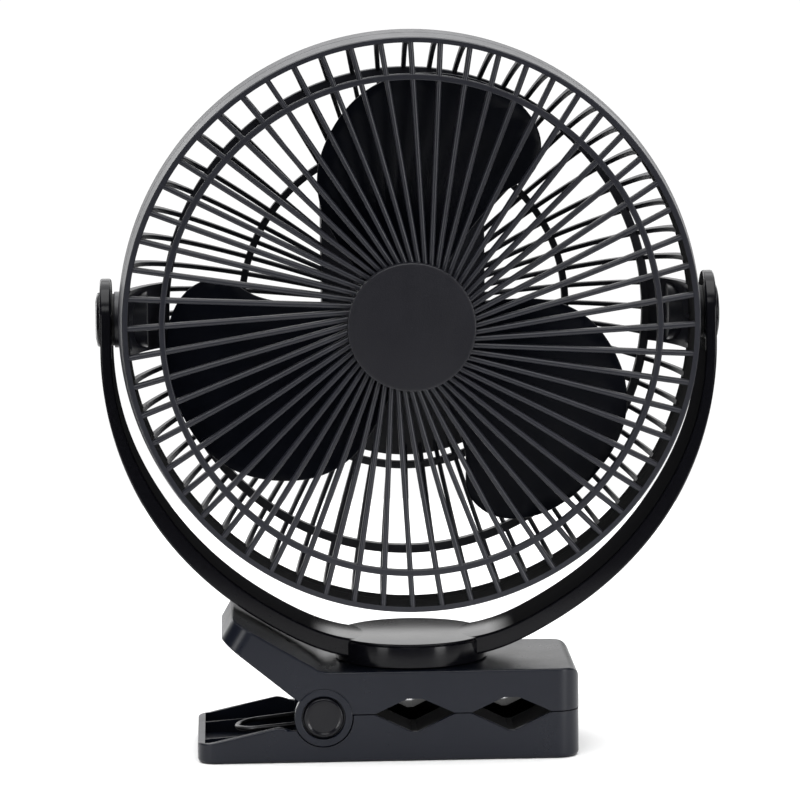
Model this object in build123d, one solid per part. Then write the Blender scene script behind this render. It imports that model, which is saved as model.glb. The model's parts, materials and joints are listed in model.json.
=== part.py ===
from build123d import *

import os
from math import asin, cos, degrees, radians, sin, sqrt

os.makedirs("parts", exist_ok=True)

# A rechargeable camping fan on a spring clamp. The origin is on the underside of the lower jaw,
# straight below the swivel axis. +X points to the clamp's mouth, -Y the way the air blows and
# +Z up. Everything is in millimetres.

# Driving dimensions: clamp
clamp_depth = 58.0
jaw_front_x = 57.0
tray_end_x = -75.0
parting_z = 16.6
jaw_top_z = 31.5
wall = 2.5
pin_x = -31.5
pin_z = 15.8
pin_radius = 2.5
ear_radius = 10.0
notch_centres = (0.0, 33.4)
notch_half_width = 13.6
running_gap = 0.05

# Driving dimensions: yoke and swivel
tilt_height = 151.6
strap_depth = 28.4
disc_radius = 26.5
disc_top_z = 40.3
washer_thickness = 0.5
post_radius = 8.0

# Driving dimensions: head, with y counted from the tilt axis, the front negative
rib_count = 60
front_face_y = -36.2
rim_radius = 98.2
band_radius = 100.0
front_ring_radius = 84.7
front_rib_offset = 6.0
front_rib_width = 1.8
rear_rings = ((84.1, 2.9, 13.8), (57.3, 2.4, 34.3))
rear_rib_width = 1.6
plate_front_y = 34.5
plate_back_y = 37.0
housing_radius = 53.8
housing_half_width = 28.9
housing_back_y = 58.0
cover_back_y = 60.5

# Driving dimensions: rotor
hub_radius = 20.0
blade_count = 3
blade_thickness = 1.8
shaft_radius = 1.5


def block(x0, x1, y0, y1, z0, z1):
    return Pos((x0 + x1) / 2, (y0 + y1) / 2, (z0 + z1) / 2) * Box(x1 - x0, y1 - y0, z1 - z0)


def rod_x(radius, x0, x1, y=0.0, z=tilt_height):
    return Pos((x0 + x1) / 2, y, z) * Rot(0, 90, 0) * Cylinder(radius, x1 - x0)


def rod_y(radius, y0, y1, x=0.0, z=tilt_height):
    return Pos(x, (y0 + y1) / 2, z) * Rot(90, 0, 0) * Cylinder(radius, y1 - y0)


def rod_z(radius, z0, z1, x=0.0, y=0.0):
    return Pos(x, y, (z0 + z1) / 2) * Cylinder(radius, z1 - z0)


# A polygon given as (x, z), drawn out along Y
def side_plate(points, y0, y1):
    face = make_face(Polyline(*[(x, y0, z) for x, z in points], close=True))
    return extrude(face, amount=y1 - y0, dir=(0, 1, 0))


# A closed outline given as (radius, y), turned about the fan's axis or one parallel to it
def turned(points, x=0.0, z=tilt_height):
    face = Pos(x, 0, z) * make_face(Polyline(*points, close=True))
    return revolve(face, Axis((x, 0, z), (0, 1, 0)), 360)


# A flat drawing as seen from the front, centred on the fan's axis, made solid between two depths
def front_drawing(sketch, y_front, y_back):
    plane = Plane(origin=(0, y_back, tilt_height), x_dir=(1, 0, 0), z_dir=(0, -1, 0))
    return extrude(plane * sketch, amount=y_back - y_front)


def both_sides(shape):
    return [shape, mirror(shape, about=Plane.XZ)]


def both_ends(shape):
    return [shape, mirror(shape, about=Plane.YZ)]


def save(name, shape):
    export_step(shape, f"parts/{name}.step")
    print(name, flush=True)


half_depth = clamp_depth / 2
inner_depth = half_depth - wall
edge_rounding = 0.7
mouth_corner = 8.0


# The two upright edges at a jaw's mouth
def mouth_edges(shape):
    return shape.edges().filter_by(Axis.Z).group_by(Axis.X)[-1]


# The edges along Y at a corner of a jaw's side outline
def edges_across(shape, x, z):
    edges = shape.edges().filter_by(Axis.Y)
    return [e for e in edges if abs(e.center().X - x) < 0.05 and abs(e.center().Z - z) < 0.05]


def runs_across(edge):
    return abs((edge @ 0).Y - (edge @ 1).Y) > half_depth


# The edges above a height in the two side faces of a jaw
def side_edges(shape, z_low):
    edges = []
    for edge in shape.edges():
        in_side = all(abs(abs((edge @ t).Y) - half_depth) < 0.01 for t in (0, 0.5, 1))
        if in_side and edge.center().Z > z_low:
            edges.append(edge)
    return edges


# ---- Clamp: lower jaw ----
lower_top_z = parting_z - 0.2
lower_outline = [
    (tray_end_x, 0),
    (jaw_front_x, 0),
    (jaw_front_x, lower_top_z),
    (-21.0, lower_top_z),
    (-24.0, 11.6),
    (-42.4, 11.2),
    (-46.5, 12.6),
    (-71.0, 7.2),
    (tray_end_x, 7.2),
]
lower_jaw = side_plate(lower_outline, -half_depth, half_depth)
lower_jaw = fillet(edges_across(lower_jaw, -46.5, 12.6), 6.0)
end_edges = lower_jaw.edges().filter_by(Axis.Z)
lower_jaw = fillet(end_edges.group_by(Axis.X)[0], 6.5)
lower_jaw = fillet(mouth_edges(lower_jaw), mouth_corner)
lower_jaw = fillet(lower_jaw.faces().sort_by(Axis.Z)[0].edges(), 1.6)
tray_edges = [e for e in lower_jaw.edges() if e.center().X < -43 and e.center().Z > 6.5]
tray_rim = [e for e in tray_edges if not runs_across(e) or e.center().X < tray_end_x + 0.1]
lower_jaw = fillet(tray_rim, edge_rounding)
tray = block(tray_end_x + wall, -19.5, -inner_depth, inner_depth, wall, 40)
jaw_well = block(-17.5, jaw_front_x - wall, -inner_depth, inner_depth, wall, 40)
lower_jaw -= tray
lower_jaw -= fillet(mouth_edges(jaw_well), mouth_corner - wall)
for side in both_sides(rod_y(ear_radius + 0.4, -half_depth - 1, -inner_depth + 0.1, pin_x, pin_z)):
    lower_jaw -= side
# The tray's two stiffening ribs, the ribs under the pads and the two inner ears
tray_rib = side_plate([(-73, 2), (-41, 2), (-41, 8.6), (-72.5, 6.2), (-73, 6.2)], -15.7, -14.2)
for side in both_sides(tray_rib):
    lower_jaw += side
for x in (-13.0, 16.7, 49.0):
    lower_jaw += block(x - 1, x + 1, -inner_depth - 0.5, inner_depth + 0.5, 2, 7.0)
inner_ear = side_plate([(-41.5, 2), (-21.5, 2), (-22.6, 15.8), (-40.4, 15.8)], -25.3, -21.5)
inner_ear += rod_y(8.9, -25.3, -21.5, pin_x, pin_z)
for side in both_sides(inner_ear):
    lower_jaw += side
lower_jaw -= rod_y(pin_radius + 0.02, -40, 40, pin_x, pin_z)


def notch(x, half_width, z_open, z_deep, flat, y0, y1):
    points = [(x - half_width, z_open), (x - flat, z_deep), (x + flat, z_deep), (x + half_width, z_open)]
    return side_plate(points, y0, y1)


def notch_edge(edge):
    x_spans = [abs(edge.center().X - x) < notch_half_width for x in notch_centres]
    return any(x_spans) and edge.center().Z < lower_top_z - 0.3


def lower_notch(x):
    return notch(x, notch_half_width + 0.5, parting_z, 10.2, 1.0, -40, 40)


def upper_notch(x):
    return notch(x, notch_half_width + 0.5, parting_z, 21.9, 2.6, -40, 40)


for x in notch_centres:
    lower_jaw -= lower_notch(x)
lower_jaw = chamfer([e for e in side_edges(lower_jaw, 9.5) if notch_edge(e)], 0.35)
save("lower_jaw", lower_jaw)


# ---- Clamp: rubber pads, each with the two V grooves ----
def jaw_pad(y0, y1, z0, z1, groove):
    pad = block(-17.0, jaw_front_x - mouth_corner - 0.2, y0, y1, z0, z1)
    for x in notch_centres:
        pad -= groove(x)
    return pad


save("lower_pad_front", jaw_pad(-inner_depth + 0.1, -7, 7.05, lower_top_z, lower_notch))
save("lower_pad_rear", jaw_pad(15, inner_depth - 0.1, 7.05, lower_top_z, lower_notch))
save("upper_pad_front", jaw_pad(-inner_depth + 0.1, -7, parting_z + 0.2, 24.4, upper_notch))
save("upper_pad_rear", jaw_pad(15, inner_depth - 0.1, parting_z + 0.2, 24.4, upper_notch))


# ---- Clamp: upper jaw with the rising handle ----
handle_corner = 8.5


# The two corners of the face at a handle's end
def end_corners(shape, depth):
    end = shape.faces().sort_by(Axis.X)[0]
    return [e for e in end.edges() if abs(abs(e.center().Y) - depth) < 0.1]


upper_bottom_z = parting_z + 0.2
upper_outline = [
    (jaw_front_x, upper_bottom_z),
    (jaw_front_x, jaw_top_z),
    (pin_x, jaw_top_z),
    (-62.4, 49.8),
    (-66.4, 42.8),
    (-41.6, 22.6),
    (-38.4, 20.4),
    (-31.5, 17.5),
    (-23.5, upper_bottom_z),
]
upper_jaw = side_plate(upper_outline, -half_depth, half_depth)
upper_jaw = fillet(edges_across(upper_jaw, pin_x, jaw_top_z), 9.0)
upper_jaw = fillet(edges_across(upper_jaw, jaw_front_x, jaw_top_z), 4.0)
upper_jaw = fillet(end_corners(upper_jaw, half_depth), handle_corner)
# The upright corners stand a hair in front of the mouth's face, so that they cross it
jaw_plan = block(-80, jaw_front_x + 0.1, -half_depth, half_depth, 0, 60)
upper_jaw &= fillet(mouth_edges(jaw_plan), mouth_corner)
upper_jaw = fillet(side_edges(upper_jaw, 28), edge_rounding)
upper_well = [
    (jaw_front_x - wall, 5),
    (jaw_front_x - wall, jaw_top_z - 3),
    (-31.3, jaw_top_z - 3),
    (-61.3, 46.3),
    (-68.0, 34.7),
    (-60.0, 5),
]
upper_well_core = side_plate(upper_well, -inner_depth, inner_depth)
upper_well_core = fillet(mouth_edges(upper_well_core), mouth_corner - wall)
upper_jaw -= fillet(end_corners(upper_well_core, inner_depth), handle_corner - wall)
upper_ear = rod_y(ear_radius, -half_depth - 0.6, -25.7, pin_x, pin_z)
upper_ear -= rod_y(7.5, -40, -27.3, pin_x, pin_z)
upper_ear = fillet(upper_ear.faces().sort_by(Axis.Y)[0].edges(), 0.4)
for side in both_sides(upper_ear):
    upper_jaw += side
for side in both_sides(rod_y(7.5, -40, -27.3, pin_x, pin_z)):
    upper_jaw -= side
upper_jaw -= rod_y(pin_radius + running_gap, -40, 40, pin_x, pin_z)
upper_jaw -= rod_z(post_radius + running_gap, 20, 40)
# Ribs that back the rubber pads
for x in (-14.0, 16.7, 49.0):
    upper_jaw += block(x - 1, x + 1, -inner_depth - 0.5, inner_depth + 0.5, 24.5, jaw_top_z - 1)
for x in notch_centres:
    upper_jaw -= upper_notch(x)
save("upper_jaw", upper_jaw)


# ---- Clamp: pin, buttons and spring ----
pin_length = 57.0
save("jaw_pin", rod_y(pin_radius, -pin_length / 2, pin_length / 2, pin_x, pin_z))

button_outline = [
    (0, -29.5),
    (5.2, -29.5),
    (5.9, -29.9),
    (6.5, -29.8),
    (6.9, -29.3),
    (7.0, -28.7),
    (7.0, -27.6),
    (pin_radius + 0.02, -27.6),
    (pin_radius + 0.02, -pin_length / 2 - 0.1),
    (0, -pin_length / 2 - 0.1),
]
button = turned(button_outline, pin_x, pin_z)
save("pin_button_front", button)
save("pin_button_rear", mirror(button, about=Plane.XZ))

wire_radius = 0.9
coil_radius = 5.2
coil_turns = 4
coil_pitch = 2.3
coil_inner_y = 9.6
lower_leg_angle = 5.7
upper_leg_angle = 38.0
lower_leg_length = 23.0
upper_leg_length = 36.0


def round_wire(line):
    section = Plane(origin=line @ 0, z_dir=line % 0) * Circle(wire_radius)
    return sweep(section, path=line, is_frenet=True)


# The coil starts under the pin at the slope of the lower leg and runs outwards along it
first_turn = radians(lower_leg_angle)
coil_plane = Plane(
    origin=(pin_x, -coil_inner_y, pin_z),
    x_dir=(sin(first_turn), 0, -cos(first_turn)),
    z_dir=(0, -1, 0),
)
turned_degrees = coil_turns * 360 + 180 - upper_leg_angle - lower_leg_angle
coil_line = coil_plane * Helix(coil_pitch, coil_pitch * turned_degrees / 360, coil_radius)
upper_leg = Line(coil_line @ 1, (coil_line @ 1) + (coil_line % 1) * upper_leg_length)
lower_leg = Line(coil_line @ 0, (coil_line @ 0) - (coil_line % 0) * lower_leg_length)
loop_start = lower_leg @ 1
loop_end = Vector(loop_start.X, -loop_start.Y, loop_start.Z)
loop_line = TangentArc(loop_start, loop_end, tangent=lower_leg % 1)
half_spring = round_wire(coil_line) + round_wire(upper_leg) + round_wire(lower_leg)
torsion_spring = half_spring + round_wire(loop_line) + mirror(half_spring, about=Plane.XZ)
save("torsion_spring", torsion_spring)


# ---- Swivel ----
disc_bottom_z = jaw_top_z + washer_thickness
washer = rod_z(22, jaw_top_z, disc_bottom_z) - rod_z(post_radius + 0.3, 20, 40)
save("swivel_washer", washer)

post_end_z = 28.3
retainer = rod_z(12, 26.6, post_end_z) - rod_z(2.2, 20, 40)
save("swivel_retainer", retainer)
swivel_screw = rod_z(2.0, 26, 37.5) + rod_z(3.8, 24.9, 26.6)
save("swivel_screw", swivel_screw)


# ---- Yoke: strap, disc and post ----
inner_line = [(0, -112.4), (28.5, -109.4), (44.2, -102.3), (62.8, -89.7)]
inner_line += [(87.5, -61.3), (98.9, -36), (102.4, -10)]
outer_line = [(0, -119.3), (30.7, -115.3), (44.2, -109.1), (66.2, -94.5)]
outer_line += [(92, -64.4), (103.2, -36), (106.3, -10)]


def strap_edge(points):
    return Spline(*[(x, 0, z + tilt_height) for x, z in points], tangents=((1, 0, 0), (0, 0, 1)))


inner_edge = strap_edge(inner_line)
outer_edge = strap_edge(outer_line)
strap_face = make_face(
    [
        inner_edge,
        outer_edge,
        Line(inner_edge @ 0, outer_edge @ 0),
        Line(inner_edge @ 1, outer_edge @ 1),
    ]
)
half_strap = extrude(strap_face, amount=strap_depth / 2, dir=(0, 1, 0), both=True)
arm = block(102.4, 106.3, -strap_depth / 2, strap_depth / 2, tilt_height - 10, tilt_height)
arm += rod_x(strap_depth / 2, 102.4, 106.3)
half_strap += arm
yoke = half_strap + mirror(half_strap, about=Plane.YZ)
disc = rod_z(disc_radius, disc_bottom_z, disc_top_z)
disc = fillet(disc.edges().sort_by(Axis.Z)[-1], 0.6)
yoke += disc
yoke += rod_z(post_radius, post_end_z, disc_bottom_z + 1)
yoke -= rod_z(2.05, 20, 38)
bush_radius = 4.0
for side in both_ends(rod_x(bush_radius + running_gap, 95, 115)):
    yoke -= side
save("yoke", yoke)

cap_outline = [(0, 0), (9.3, 0), (9.5, 0.5), (9.0, 1.1), (6.5, 1.6), (0, 1.8)]
cap_face = make_face(Polyline(*[(106.35 + h, 0, tilt_height + r) for r, h in cap_outline], close=True))
cap = revolve(cap_face, Axis((0, 0, tilt_height), (1, 0, 0)), 360)
save("tilt_cap_right", cap)
save("tilt_cap_left", mirror(cap, about=Plane.YZ))


# ---- Head: tilt screws and washers ----
boss_end_x = 101.5
tilt_screw = rod_x(2.4, 90.5, 102.4) + rod_x(bush_radius, 101.6, 106.2)
save("tilt_screw_right", tilt_screw)
save("tilt_screw_left", mirror(tilt_screw, about=Plane.YZ))
tilt_washer = rod_x(9.0, boss_end_x, 102.3) - rod_x(bush_radius + 0.1, 95, 110)
save("tilt_washer_right", tilt_washer)
save("tilt_washer_left", mirror(tilt_washer, about=Plane.YZ))


# ---- Head: front grille ----
def rib_fan(width, first_angle, offset, start, end):
    ribs = []
    for k in range(rib_count):
        angle = first_angle + k * 360 / rib_count
        ribs.append(Rot(0, 0, angle) * Pos((start + end) / 2, -offset) * Rectangle(end - start, width))
    return ribs


front_rib_angle = 5.14 + degrees(asin(front_rib_offset / front_ring_radius))
front_rib_start = sqrt(21.0**2 - front_rib_offset**2)
front_ribs = rib_fan(front_rib_width, front_rib_angle, front_rib_offset, front_rib_start, 96.8)
front_sketch = Circle(21.4) + front_ribs
front_shell = turned(
    [
        (0, -33.2),
        (22, -33.2),
        (front_ring_radius, front_face_y),
        (99, front_face_y),
        (99, front_face_y + 4.4),
        (front_ring_radius, front_face_y + 4.4),
        (22, -29.0),
        (20, -30.2),
        (0, -30.2),
    ]
)
front_grille = front_drawing(front_sketch, -40, -25) & front_shell
front_grille += turned(
    [
        (front_ring_radius - 1.05, front_face_y - 0.05),
        (front_ring_radius + 1.05, front_face_y - 0.05),
        (front_ring_radius + 1.05, front_face_y + 3.6),
        (front_ring_radius - 1.05, front_face_y + 3.6),
    ]
)
front_grille += turned(
    [
        (96.3, front_face_y - 0.1),
        (rim_radius - 0.35, front_face_y - 0.1),
        (rim_radius, front_face_y + 0.25),
        (99.25, -26.75),
        (97.6, -26.75),
        (97.6, -21.5),
        (96.4, -21.5),
    ]
)
save("front_grille", front_grille)

hub_cap = turned(
    [
        (0, -38.4),
        (20.6, -38.4),
        (21.5, -38.1),
        (21.9, -37.3),
        (21.9, -33.5),
        (20.7, -33.5),
        (20.7, -36.6),
        (3.5, -36.6),
        (3.5, -33.5),
        (0, -33.5),
    ]
)
save("hub_cap", hub_cap)


# ---- Head: rear grille with its band, bosses and centre plate ----
# The cage is a band of a ring-shaped dome, drawn as arcs about one centre, with y along the axis
dome_centre_r = 36.4
dome_centre_y = -24.7
dome_outer_radius = 63.8
dome_inner_radius = 60.6
dome_start_y = -13.0
dome_end_r = 27.0


def dome_edges(radius):
    rise = dome_start_y - dome_centre_y
    start = (dome_centre_r + sqrt(radius**2 - rise**2), dome_start_y, 0)
    slope = radians(45)
    middle = (dome_centre_r + radius * cos(slope), dome_centre_y + radius * sin(slope), 0)
    top = (dome_centre_r, dome_centre_y + radius, 0)
    end = (dome_end_r, dome_centre_y + radius, 0)
    return ThreePointArc(start, middle, top), Line(top, end)


dome_outer, outer_flat = dome_edges(dome_outer_radius)
dome_inner, inner_flat = dome_edges(dome_inner_radius)
dome_face = make_face(
    [
        dome_outer,
        outer_flat,
        dome_inner,
        inner_flat,
        Line(dome_outer @ 0, dome_inner @ 0),
        Line(outer_flat @ 1, inner_flat @ 1),
    ]
)
fan_axis = Axis((0, 0, tilt_height), (0, 1, 0))
dome = revolve(Pos(0, 0, tilt_height) * dome_face, fan_axis, 360)


def housing_shape(inset=0.0):
    return Circle(housing_radius - inset) & Rectangle(2 * (housing_half_width - inset), 200)


# The solid side panels that carry the pivot bosses are drawn together with the ribs
panels = [Pos(x, 0) * Rectangle(15, 22.6) for x in (-90.5, 90.5)]
rear_ribs = Sketch() + (rib_fan(rear_rib_width, 0.0, 0.0, 30, 98.4) + panels)
rear_grille = front_drawing(rear_ribs, -20, 45) & dome
for radius, width, depth_y in rear_rings:
    rear_grille += turned(
        [
            (radius - width / 2, depth_y - 2.2),
            (radius + width / 2, depth_y - 2.2),
            (radius + width / 2, depth_y + 2.2),
            (radius - width / 2, depth_y + 2.2),
        ]
    )
rear_grille += turned(
    [
        (97.75, -26.7),
        (99.3, -26.7),
        (band_radius, -17.0),
        (99.5, -11.5),
        (96.4, -11.5),
        (96.4, -21.0),
        (97.75, -21.0),
    ]
)
rear_grille += front_drawing(housing_shape(), plate_front_y, plate_back_y)
# Each boss starts halfway through its panel's thickness
root_arc, root_flat = dome_edges((dome_outer_radius + dome_inner_radius) / 2)
root_top_y = (root_flat @ 1).Y
inside_dome = make_face(
    [
        root_arc,
        root_flat,
        Line(root_arc @ 0, (0, dome_start_y, 0)),
        Line((0, dome_start_y, 0), (0, root_top_y, 0)),
        Line((0, root_top_y, 0), root_flat @ 1),
    ]
)
inside_dome = revolve(Pos(0, 0, tilt_height) * inside_dome, fan_axis, 360)
boss = rod_x(9.7, 82, boss_end_x) - inside_dome
for side in both_ends(boss):
    rear_grille += side
# Socket for the motor, and the holes for its screws
rear_grille += rod_y(19.8, 14, plate_back_y)
rear_grille -= rod_y(17.7, 10, plate_front_y)
for side in both_ends(rod_x(2.45, 80, 110)):
    rear_grille -= side
for x in (-11, 11):
    rear_grille -= rod_y(1.5, 30, 40, x)
rear_grille -= front_drawing(housing_shape(), plate_back_y, 50)
save("rear_grille", rear_grille)


# ---- Head: motor ----
motor_can = rod_y(17.5, -10, 28) - rod_y(16.3, -8.5, 30) - rod_y(4.03, -20, 0)
save("motor_can", motor_can)
motor_end_cap = rod_y(17.5, 28, 30) + rod_y(6.5, 26, 32) - rod_y(4.03, 20, 40)
for x in (-11, 11):
    motor_end_cap += rod_y(3.0, 29, plate_front_y, x)
for x in (-11, 11):
    motor_end_cap -= rod_y(1.25, 20, 40, x)
save("motor_end_cap", motor_end_cap)
save("magnet_ring", rod_y(16.2, 0, 22) - rod_y(14.2, -5, 30))
for name, y0 in (("bearing_front", -10.6), ("bearing_rear", 27.0)):
    save(name, rod_y(4.0, y0, y0 + 4.5) - rod_y(shaft_radius + 0.04, y0 - 5, y0 + 10))
for name, x in (("motor_screw_left", -11), ("motor_screw_right", 11)):
    save(name, rod_y(1.2, 29, plate_back_y, x) + rod_y(2.6, plate_back_y, plate_back_y + 1.2, x))


# ---- Head: battery and control box ----
rear_housing = front_drawing(housing_shape() - housing_shape(2.0), plate_back_y, housing_back_y)
screw_spots = [(x, z) for x in (-23.8, 23.8) for z in (-36, 36)]
for x, z in screw_spots:
    rear_housing += rod_y(3.3, plate_back_y, housing_back_y, x, tilt_height + z)
for x, z in screw_spots:
    rear_housing -= rod_y(1.45, 30, 70, x, tilt_height + z)
save("rear_housing", rear_housing)

dial_z = tilt_height + 36
side_z = tilt_height + 29
rear_cover = front_drawing(housing_shape(), housing_back_y, cover_back_y)
rear_cover = fillet(rear_cover.faces().sort_by(Axis.Y)[-1].edges(), 1.5)
rear_cover -= rod_y(3.05, 50, 70, 0, dial_z)
rear_cover -= block(9.3, 18.7, 50, 70, side_z - 1.9, side_z + 1.9)
rear_cover -= block(-19.1, -8.9, 50, 70, side_z - 1.4, side_z + 1.4)
for x, z in screw_spots:
    rear_cover -= rod_y(1.6, 50, 70, x, tilt_height + z)
for x, z in screw_spots:
    rear_cover -= rod_y(2.9, 59.2, 70, x, tilt_height + z)
# Air slots across the lower half of the cover
for k in range(5):
    slot_z = tilt_height - 34 + 6 * k
    rear_cover -= block(-12, 12, 50, 70, slot_z - 1, slot_z + 1)
save("rear_cover", rear_cover)
for k, (x, z) in enumerate(screw_spots):
    screw = rod_y(1.4, 42, 59.5, x, tilt_height + z) + rod_y(2.7, 59.25, 60.4, x, tilt_height + z)
    screw -= block(x - 1.6, x + 1.6, 59.9, 61, tilt_height + z - 0.3, tilt_height + z + 0.3)
    save(f"cover_screw_{k + 1}", screw)

cell_bottom = tilt_height - 46
cell_top = tilt_height + 19
for name, x in (("battery_left", -10), ("battery_right", 10)):
    cell = rod_z(9.1, cell_bottom, cell_top - 1.2, x, 47.5) + rod_z(3, cell_top - 1.3, cell_top, x, 47.5)
    save(name, cell)
cradle = block(-17, 17, 38.5, 56.5, cell_bottom - 1.8, cell_bottom - 0.1)
cradle += block(-17, 17, 38.5, 56.5, cell_top + 0.1, cell_top + 1.8)
cradle += block(-4, 4, 37.1, 38.3, cell_bottom - 1.8, cell_top + 1.8)
cradle += block(-4, 4, 38, 40, cell_bottom - 1.8, cell_bottom - 0.1)
cradle += block(-4, 4, 38, 40, cell_top + 0.1, cell_top + 1.8)
save("battery_cradle", cradle)

board = block(-19, 19, 44, 45.6, tilt_height + 23, tilt_height + 46)
for x in (-15, 15):
    board -= rod_y(1.3, 40, 50, x, tilt_height + 43)
save("circuit_board", board)
encoder = block(-6, 6, 45.65, 52, dial_z - 6, dial_z + 6) - rod_y(3.05, 48, 60, 0, dial_z)
save("speed_encoder", encoder)
socket = block(9.5, 18.5, 45.65, 60.3, side_z - 1.65, side_z + 1.65)
socket -= block(9.9, 18.1, 54, 70, side_z - 1.25, side_z + 1.25)
socket += block(11, 17, 53.5, 59.3, side_z - 0.35, side_z + 0.35)
save("charging_socket", socket)
save("indicator_lens", block(-19, -9, 46, 60.7, side_z - 1.3, side_z + 1.3))


# ---- Speed dial on the rear cover ----
dial = rod_y(3.0, 49, 62, 0, dial_z) + rod_y(8.5, 61, 67, 0, dial_z)
dial = fillet(dial.edges().sort_by(Axis.Y)[-1], 0.8)
for k in range(18):
    dial -= rod_y(0.7, 61.8, 70, 8.8 * cos(radians(20 * k)), dial_z + 8.8 * sin(radians(20 * k)))
dial -= block(-0.5, 0.5, 66.4, 70, dial_z + 3, dial_z + 9)
save("speed_dial", dial)


# ---- Rotor: shaft, armature, blades and nut ----
save("motor_shaft", rod_y(shaft_radius, -28.4, 32.5))
armature = rod_y(13.2, 2, 20) - rod_y(shaft_radius + 0.02, -5, 30)
for k in range(3):
    angle = radians(120 * k + 30)
    armature -= rod_y(2.2, 0, 30, 13 * cos(angle), tilt_height + 13 * sin(angle))
save("armature", armature)
nut_face = RegularPolygon(5, 6) - Circle(shaft_radius + 0.02)
save("blade_nut", front_drawing(nut_face, -28.2, -26.2))

# One paddle, drawn about the axis from the lagging edge over the tip to the leading lobe
paddle_points = [
    (-14.0, 12.0),
    (-24.0, 27.0),
    (-30.6, 42.0),
    (-30.6, 54.0),
    (-26.0, 65.5),
    (-17.0, 76.5),
    (-3.0, 83.6),
    (14.0, 84.0),
    (31.0, 79.0),
    (43.0, 69.0),
    (46.9, 58.0),
    (43.5, 48.5),
    (34.0, 42.5),
    (26.0, 34.5),
    (18.0, 24.0),
    (11.0, 12.0),
]
paddle_edge = Spline(*paddle_points)
paddle_face = make_face([paddle_edge, Line(paddle_edge @ 1, paddle_edge @ 0)])
paddle_block = front_drawing(paddle_face, -30, 10)


# The paddle's twisted sheet is lofted through radial slices that step back round the axis
def sheet_slice(angle, y):
    direction = Vector(cos(radians(angle)), 0, sin(radians(angle)))
    centre = Vector(0, y, tilt_height) + direction * 52
    plane = Plane(origin=centre, x_dir=direction, z_dir=direction.cross(Vector(0, 1, 0)))
    return plane * Rectangle(80, blade_thickness)


lag_angle = 145.0
lead_angle = 36.0
lag_y = -22.5
lead_y = 3.5
slices = []
for k in range(8):
    share = k / 7
    slice_angle = lag_angle + share * (lead_angle - lag_angle)
    slices.append(sheet_slice(slice_angle, lag_y + share * (lead_y - lag_y)))
sheet = loft(slices)
paddle = paddle_block & sheet
fan_blade = rod_y(hub_radius, -26, 4) - rod_y(hub_radius - 1.5, -23, 10)
fan_blade += rod_y(4.5, -24, -12)
cavity = rod_y(hub_radius - 1.5, -23, 10)
for k in range(blade_count):
    turn = Pos(0, 0, tilt_height) * Rot(0, 120 * k, 0) * Pos(0, 0, -tilt_height)
    fan_blade += turn * (paddle - cavity)
fan_blade -= rod_y(shaft_radius + 0.02, -40, 20)
save("fan_blade", fan_blade)
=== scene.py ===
import json
import math

import bmesh
import bpy
from mathutils import Matrix, Vector


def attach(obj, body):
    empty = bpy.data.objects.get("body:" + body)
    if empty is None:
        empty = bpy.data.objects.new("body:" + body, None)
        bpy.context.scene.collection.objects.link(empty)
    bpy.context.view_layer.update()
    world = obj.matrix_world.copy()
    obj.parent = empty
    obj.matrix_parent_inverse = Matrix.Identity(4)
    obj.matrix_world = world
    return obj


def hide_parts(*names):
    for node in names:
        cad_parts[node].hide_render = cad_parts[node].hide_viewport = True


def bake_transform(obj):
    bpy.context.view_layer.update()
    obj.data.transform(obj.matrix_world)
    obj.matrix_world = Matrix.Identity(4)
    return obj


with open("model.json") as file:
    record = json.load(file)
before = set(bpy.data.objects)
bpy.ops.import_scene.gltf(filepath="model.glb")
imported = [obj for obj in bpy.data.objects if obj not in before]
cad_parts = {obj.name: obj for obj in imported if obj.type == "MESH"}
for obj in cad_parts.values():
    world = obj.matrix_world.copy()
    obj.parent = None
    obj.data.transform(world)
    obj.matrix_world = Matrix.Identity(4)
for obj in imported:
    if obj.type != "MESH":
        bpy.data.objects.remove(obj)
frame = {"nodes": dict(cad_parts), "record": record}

mm = 0.001
cadNodes = frame["nodes"]
bodies = frame["record"]["behaviour"]["bodies"]
nodeBody = {node: body for body, nodes in bodies.items() for node in nodes}
nodeSlot = {part["node"]: part["material_slot"] for part in frame["record"]["subparts"]}
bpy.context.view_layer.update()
fanHeight = 151.6 * mm  # the fan's axis above the table
print("frame loaded with", len(cadNodes), "nodes")


# One output of a node. Sums, products and quotients of these add Math nodes
class Wire:
    def __init__(self, graph, socket):
        self.graph = graph
        self.socket = socket

    def combine(self, operation, first, second):
        return self.graph.node("ShaderNodeMath", {"operation": operation}, {0: first, 1: second})

    def __add__(self, other):
        return self.combine("ADD", self, other)

    def __radd__(self, other):
        return self.combine("ADD", other, self)

    def __sub__(self, other):
        return self.combine("SUBTRACT", self, other)

    def __rsub__(self, other):
        return self.combine("SUBTRACT", other, self)

    def __mul__(self, other):
        return self.combine("MULTIPLY", self, other)

    def __rmul__(self, other):
        return self.combine("MULTIPLY", other, self)

    def __truediv__(self, other):
        return self.combine("DIVIDE", self, other)

    def __rtruediv__(self, other):
        return self.combine("DIVIDE", other, self)


# A node tree that is being laid out
class Graph:
    def __init__(self, tree):
        self.tree = tree
        tree.nodes.clear()

    # Settings are set first, then each socket gets its value or its link
    def node(self, kind, settings=None, inputs=None, output=0):
        made = self.tree.nodes.new(kind)
        for key, value in (settings or {}).items():
            setattr(made, key, value)
        for key, value in (inputs or {}).items():
            if isinstance(value, Wire):
                self.tree.links.new(value.socket, made.inputs[key])
            else:
                made.inputs[key].default_value = value
        return Wire(self, made.outputs[output]) if made.outputs else None

    # Runs smoothly from one level to another between two values
    def fade(self, value, start, end, levels=(0.0, 1.0)):
        inputs = {"Value": value, "From Min": start, "From Max": end}
        inputs.update({"To Min": levels[0], "To Max": levels[1]})
        return self.node("ShaderNodeMapRange", {"interpolation_type": "SMOOTHSTEP"}, inputs)


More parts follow.
